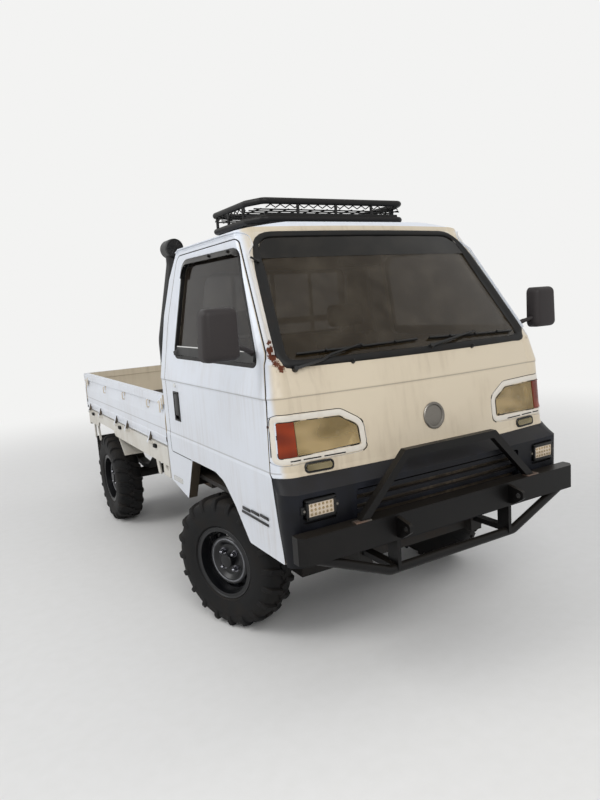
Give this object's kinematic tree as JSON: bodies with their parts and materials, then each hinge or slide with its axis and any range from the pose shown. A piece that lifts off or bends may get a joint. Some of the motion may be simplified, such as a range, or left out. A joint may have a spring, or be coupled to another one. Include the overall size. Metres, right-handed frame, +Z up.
{
  "type": "kei truck",
  "caption": "Small cab-over pickup truck with opening doors, drop-side bed, steering and rolling wheels, welded steel bumper, roof basket and raised air intake.",
  "frame": {"origin": "on the ground, midway between the truck's two ends in Y and on its centre plane in X", "axes": "the truck faces -Y, +X is its own left side and +Z is up"},
  "size_m": [1.786, 3.379, 1.895],
  "materials": {
    "body_white": "gloss paint, dusty",
    "frame_black": "satin underbody paint",
    "bumper_plastic": "grained charcoal plastic",
    "bar_black": "satin black paint on welded steel",
    "clear_glass": "clear automotive glass",
    "lamp_lens": "yellowed clear lens",
    "amber_lens": "amber lens",
    "work_lamp": "clear lamp cover over a dark body",
    "red_lens": "red lens",
    "cabin_plastic": "grained grey plastic",
    "seat_vinyl": "woven grey cover",
    "mirror_grey": "grey plastic housing",
    "trim_black": "black plastic",
    "rack_black": "powder-coated steel tube",
    "wheel_black": "satin black steel wheel",
    "tyre_black": "block-tread tyre",
    "bare_steel": "weathered machined steel",
    "cast_dark": "rough casting"
  },
  "bodies": {
    "chassis": {"chassis_frame": "frame_black", "cab_floor": "frame_black", "cab_front_panel": "body_white", "cab_side_frame": "body_white", "cab_roof": "body_white", "cab_rear_wall": "body_white", "cab_glass": "clear_glass", "front_bumper": "bumper_plastic", "steel_bumper": "bar_black", "headlamps": "lamp_lens", "turn_lamps": "amber_lens", "small_lamps": "work_lamp", "dashboard": "cabin_plastic", "seats": "seat_vinyl", "steering_column": "trim_black", "roof_basket": "rack_black", "snorkel": "trim_black", "bed_floor": "body_white", "bed_headboard": "body_white", "tail_lamps": "red_lens", "fuel_tank": "frame_black", "engine_block": "cast_dark", "driveline": "cast_dark", "exhaust": "bare_steel", "rear_axle": "frame_black", "front_suspension": "frame_black", "wipers": "trim_black"},
    "door_right": {"door_panel_right": "body_white", "door_glass_right": "clear_glass", "door_mirror_right": "mirror_grey"},
    "door_left": {"door_panel_left": "body_white", "door_glass_left": "clear_glass", "door_mirror_left": "mirror_grey"},
    "gate_right": {"side_gate_right": "body_white"},
    "gate_left": {"side_gate_left": "body_white"},
    "gate_rear": {"tail_gate": "body_white"},
    "steer_right": {"knuckle_right": "cast_dark"},
    "steer_left": {"knuckle_left": "cast_dark"},
    "steer_rod": {"tie_rod": "bare_steel"},
    "hand_wheel": {"steering_wheel": "trim_black"},
    "front_wheel_right": {"front_tyre_right": "tyre_black", "front_rim_right": "wheel_black"},
    "front_wheel_left": {"front_tyre_left": "tyre_black", "front_rim_left": "wheel_black"},
    "rear_wheel_right": {"rear_tyre_right": "tyre_black", "rear_rim_right": "wheel_black"},
    "rear_wheel_left": {"rear_tyre_left": "tyre_black", "rear_rim_left": "wheel_black"}
  },
  "joints": [
    {"name": "door_right_hinge", "type": "hinge", "parent": "chassis", "child": "door_right", "pos_m": [-0.6985, -1.4365, 1], "axis": [0, 0, 1], "range_deg": [0, 65]},
    {"name": "door_left_hinge", "type": "hinge", "parent": "chassis", "child": "door_left", "pos_m": [0.6985, -1.4365, 1], "axis": [0, 0, -1], "range_deg": [0, 65]},
    {"name": "gate_right_hinge", "type": "hinge", "parent": "chassis", "child": "gate_right", "pos_m": [-0.7125, 0.7255, 0.745], "axis": [0, -1, 0], "range_deg": [0, 180]},
    {"name": "gate_left_hinge", "type": "hinge", "parent": "chassis", "child": "gate_left", "pos_m": [0.7125, 0.7255, 0.745], "axis": [0, 1, 0], "range_deg": [0, 180]},
    {"name": "gate_rear_hinge", "type": "hinge", "parent": "chassis", "child": "gate_rear", "pos_m": [0, 1.6805, 0.745], "axis": [-1, 0, 0], "range_deg": [0, 180]},
    {"name": "steer_right_kingpin", "type": "hinge", "parent": "chassis", "child": "steer_right", "pos_m": [-0.56, -0.7745, 0.305], "axis": [0, 0, 1], "range_deg": [-55.5, 12.5]},
    {"name": "steer_left_kingpin", "type": "hinge", "parent": "chassis", "child": "steer_left", "pos_m": [0.56, -0.7745, 0.305], "axis": [0, 0, 1], "range_deg": [-55.5, 12.5]},
    {"name": "tie_rod_slide", "type": "slide", "parent": "chassis", "child": "steer_rod", "axis": [1, 0, 0], "range_m": [-0.08244, 0.01864]},
    {"name": "hand_wheel_turn", "type": "hinge", "parent": "chassis", "child": "hand_wheel", "pos_m": [-0.34, -1.1345, 1.03], "axis": [0, 0.5736, 0.8192], "range_deg": [-833.5, 188.5]},
    {"name": "front_right_spin", "type": "hinge", "parent": "steer_right", "child": "front_wheel_right", "pos_m": [-0.601, -0.79065, 0.305], "axis": [-0.9304, -0.3665, 0], "continuous": true},
    {"name": "front_left_spin", "type": "hinge", "parent": "steer_left", "child": "front_wheel_left", "pos_m": [0.601, -0.75835, 0.305], "axis": [-0.9304, -0.3665, 0], "continuous": true},
    {"name": "rear_right_spin", "type": "hinge", "parent": "chassis", "child": "rear_wheel_right", "pos_m": [-0.629, 1.1305, 0.305], "axis": [-1, 0, 0], "continuous": true},
    {"name": "rear_left_spin", "type": "hinge", "parent": "chassis", "child": "rear_wheel_left", "pos_m": [0.629, 1.1305, 0.305], "axis": [-1, 0, 0], "continuous": true}
  ],
  "couplings": [
    {"joint": "steer_left_kingpin", "follows": "steer_right_kingpin", "ratio": 1},
    {"joint": "tie_rod_slide", "follows": "steer_right_kingpin", "m_per_rad": 0.085},
    {"joint": "hand_wheel_turn", "follows": "steer_right_kingpin", "ratio": 15}
  ]
}
